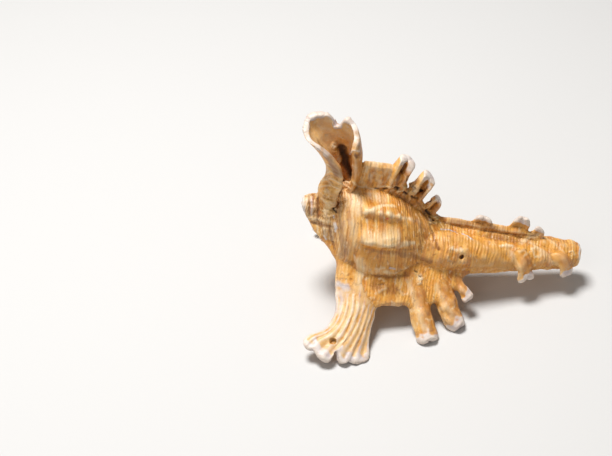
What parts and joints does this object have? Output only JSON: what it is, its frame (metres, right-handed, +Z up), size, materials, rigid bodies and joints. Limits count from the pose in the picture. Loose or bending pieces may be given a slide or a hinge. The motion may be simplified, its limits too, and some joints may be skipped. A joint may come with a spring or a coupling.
{
  "type": "murex shell",
  "caption": "Spiny murex seashell lying mouth down on its spines, with grooved spines, webs, an open canal and a hollow mouth.",
  "frame": {"origin": "middle of the bounding box's bottom, on the surface that the shell lies on", "axes": "+Z up, +X along the shell from its spire towards the end of its canal, -Y the side that the picture was taken from"},
  "size_m": [0.0884, 0.0633, 0.0624],
  "materials": {
    "shell": "satin, finely ribbed shell"
  },
  "bodies": {
    "root": {"murex_shell": "shell"}
  },
  "joints": []
}
